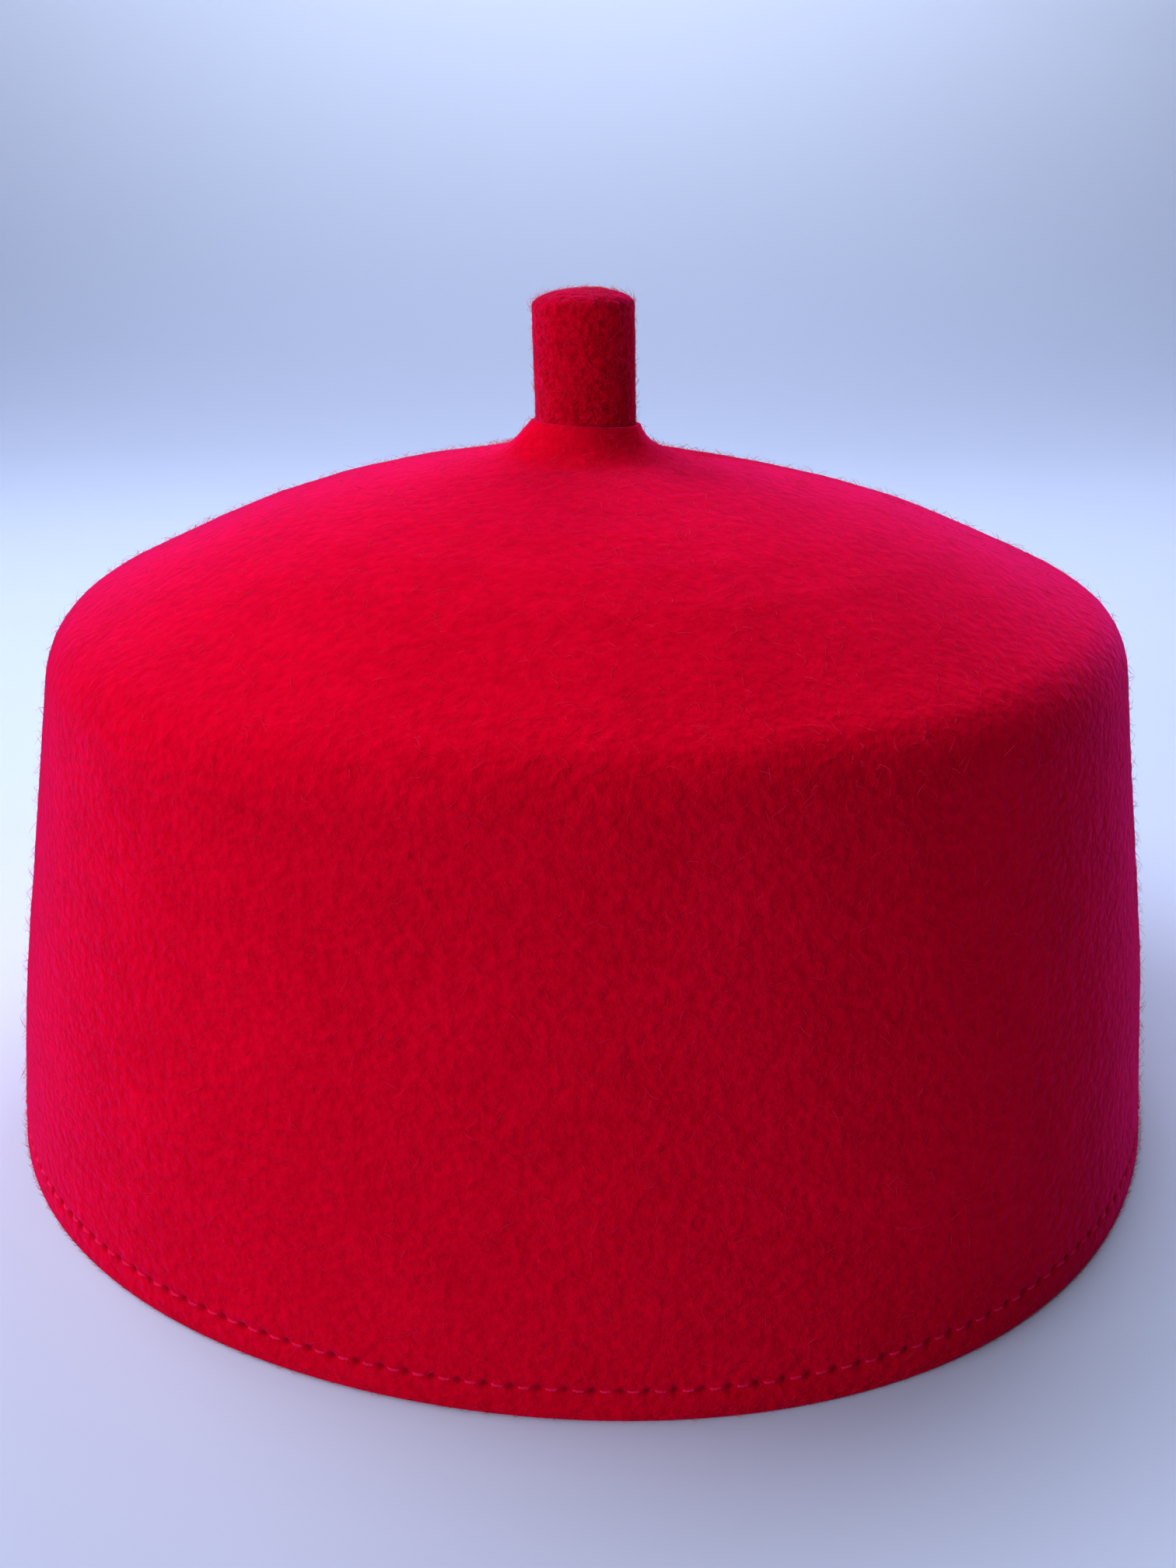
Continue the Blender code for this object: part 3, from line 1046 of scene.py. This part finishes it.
class CAP_OT_nap(bpy.types.Operator):
    """Scatters lying and stray fibres over the felt"""

    bl_idname = "cap.nap"
    bl_label = "Nap"

    def execute(self, context):
        surface = context.scene.cap_surface
        wool = fibre_material("wool_fibre", context.scene.cap_colours.fibre, LYING_FINISH)
        loose = fibre_material("loose_fibre", context.scene.cap_colours.stray, STRAY_FINISH)
        tree = napping()
        top = STEM_HIGH.z
        mouth = CROWN_HIGH.z
        shoulder = context.scene.cap_shape.wall_height * NAP_EDGE
        lying = {
            "Length": surface.fibre_length,
            "Width": surface.fibre_width,
            "Lift": 0.06,
            "Bend": 0.35,
            "Material": wool,
        }
        straying = {
            "Length": surface.stray_length,
            "Width": STRAY_WIDTH * surface.fibre_width,
            "Lift": 0.35,
            "Tip Lift": 0.45,
            "Bend": 0.3,
            "Spread": 3.1,
            "Material": loose,
        }
        shorter = {**straying, "Length": SHORT_STRAY * surface.stray_length}
        fuzzy = {**straying, "Length": FUZZ_LENGTH * surface.stray_length, "Spread": 1.1}
        # (piece, its felt, number of fibres, lowest, highest, the fibre, seed)
        beds = (
            ("wall_nap", "crown_felt", surface.wall_fibres, 0.001, shoulder, lying, 11),
            ("dome_nap", "crown_felt", surface.dome_fibres, shoulder, top, lying, 23),
            ("stem_nap", "stem_felt", surface.stem_fibres, mouth, top, lying, 37),
            ("crown_strays", "crown_felt", surface.stray_fibres, 0.003, top, straying, 41),
            ("collar_strays", "crown_felt", surface.collar_strays, mouth - 0.006, top, shorter, 71),
            ("stem_strays", "stem_felt", surface.stem_strays, mouth, top, shorter, 53),
            ("rim_fuzz", "crown_felt", surface.rim_fuzz, 0.0003, 0.0016, fuzzy, 67),
        )
        for name, felt, fibres, low, high, fibre, seed in beds:
            bed = bpy.data.objects[felt].data
            values = {
                "Density": fibres / surface_area(bed, low, high),
                "From Height": low,
                "To Height": high,
                "Seed": seed,
                **fibre,
            }
            settled(dressed(new_piece(name, bed.copy()), tree, values), felt)
        return {"FINISHED"}


def area_light(name, place, aim, size, watts, tint, cone):
    """A square soft light at a place, turned towards what it lights."""
    light = bpy.data.lights.new(name, "AREA")
    light.shape = "SQUARE"
    light.spread = math.radians(cone)
    light.size = size
    light.energy = watts
    light.color = tint
    lamp = bpy.data.objects.new(name, light)
    lamp.location = place
    lamp.rotation_euler = (Vector(aim) - Vector(place)).to_track_quat("-Z", "Y").to_euler()
    lamp.visible_camera = False
    bpy.context.scene.collection.objects.link(lamp)


def sweep_mesh(front, back, side, wall, bend):
    """A floor that curves up into a wall behind, as one sheet."""
    profile = [(-front, 0.0), (back - bend, 0.0)]
    for k in range(1, SWEEP_STEPS + 1):
        turn = 0.5 * math.pi * k / SWEEP_STEPS
        profile.append((back - bend + bend * math.sin(turn), bend - bend * math.cos(turn)))
    profile.append((back, wall))
    points = [(x, y, z) for y, z in profile for x in (-side, side)]
    faces = [(2 * k, 2 * k + 1, 2 * k + 3, 2 * k + 2) for k in range(len(profile) - 1)]
    mesh = bpy.data.meshes.new("backdrop")
    mesh.from_pydata(points, [], faces)
    mesh.shade_smooth()
    return mesh


class CAP_OT_stage(bpy.types.Operator):
    """Sets up the floor, the light and the camera"""

    bl_idname = "cap.stage"
    bl_label = "Stage"

    def execute(self, context):
        scene = context.scene
        backdrop = new_piece("backdrop", sweep_mesh(front=1.6, back=1.1, side=2.2, wall=2.0, bend=0.6))
        tone = scene.cap_colours.backdrop
        paper = uneven_material(
            "pale_backdrop", tone, low=0.96, size=0.25, seed=2.0, detail=1.0, finish=PAPER_FINISH
        )
        backdrop.data.materials.append(paper)

        for light in LIGHTS:
            area_light(*light)
        world = bpy.data.worlds.new("studio")
        world.use_nodes = True
        air = world.node_tree.nodes["Background"].inputs
        air["Color"].default_value = AIR_COLOUR
        air["Strength"].default_value = AIR_STRENGTH
        scene.world = world
        scene.view_settings.view_transform = "Standard"

        lens = bpy.data.cameras.new("camera")
        lens.lens = CAMERA_LENS
        lens.sensor_width = CAMERA_SENSOR
        lens.clip_start = CAMERA_NEAR
        camera = bpy.data.objects.new("camera", lens)
        pitch, yaw, roll = CAMERA_DOWN, CAMERA_RIGHT, CAMERA_ROLL
        ahead = Vector((math.sin(yaw) * math.cos(pitch), math.cos(yaw) * math.cos(pitch), -math.sin(pitch)))
        level = Vector((math.cos(yaw), -math.sin(yaw), 0.0))
        upright = level.cross(ahead)
        right = level * math.cos(roll) + upright * math.sin(roll)
        above = upright * math.cos(roll) - level * math.sin(roll)
        facing = Matrix((right, above, -ahead)).transposed().to_4x4()
        camera.matrix_world = Matrix.Translation(CAMERA_PLACE) @ facing
        scene.collection.objects.link(camera)
        scene.camera = camera
        return {"FINISHED"}


class CAP_PT_panel(bpy.types.Panel):
    """Lists the steps that make the cap, and its sizes and colours"""

    bl_label = "Igbo Cap"
    bl_idname = "CAP_PT_panel"
    bl_space_type = "VIEW_3D"
    bl_region_type = "UI"
    bl_category = "Igbo Cap"

    def draw(self, context):
        for step in STEPS:
            self.layout.operator(step.bl_idname)
        for group in GROUPS:
            settings = getattr(context.scene, group)
            box = self.layout.box()
            for name in settings.bl_rna.properties.keys():
                if name not in ("rna_type", "name"):
                    box.prop(settings, name)


GROUPS = {
    "cap_shape": CapShape,
    "cap_surface": FeltSurface,
    "cap_stitches": StitchRow,
    "cap_colours": CapColours,
}
STEPS = (CAP_OT_crown, CAP_OT_stem, CAP_OT_stitches, CAP_OT_nap, CAP_OT_stage)


def register():
    for name, group in GROUPS.items():
        bpy.utils.register_class(group)
        setattr(bpy.types.Scene, name, PointerProperty(type=group))
    for step in STEPS:
        bpy.utils.register_class(step)
    bpy.utils.register_class(CAP_PT_panel)


def unregister():
    bpy.utils.unregister_class(CAP_PT_panel)
    for step in reversed(STEPS):
        bpy.utils.unregister_class(step)
    for name, group in reversed(GROUPS.items()):
        delattr(bpy.types.Scene, name)
        bpy.utils.unregister_class(group)


def main():
    register()
    bpy.ops.cap.crown()
    bpy.ops.cap.stem()
    bpy.ops.cap.stitches()
    bpy.ops.cap.nap()
    bpy.ops.cap.stage()


if __name__ == "__main__":
    main()
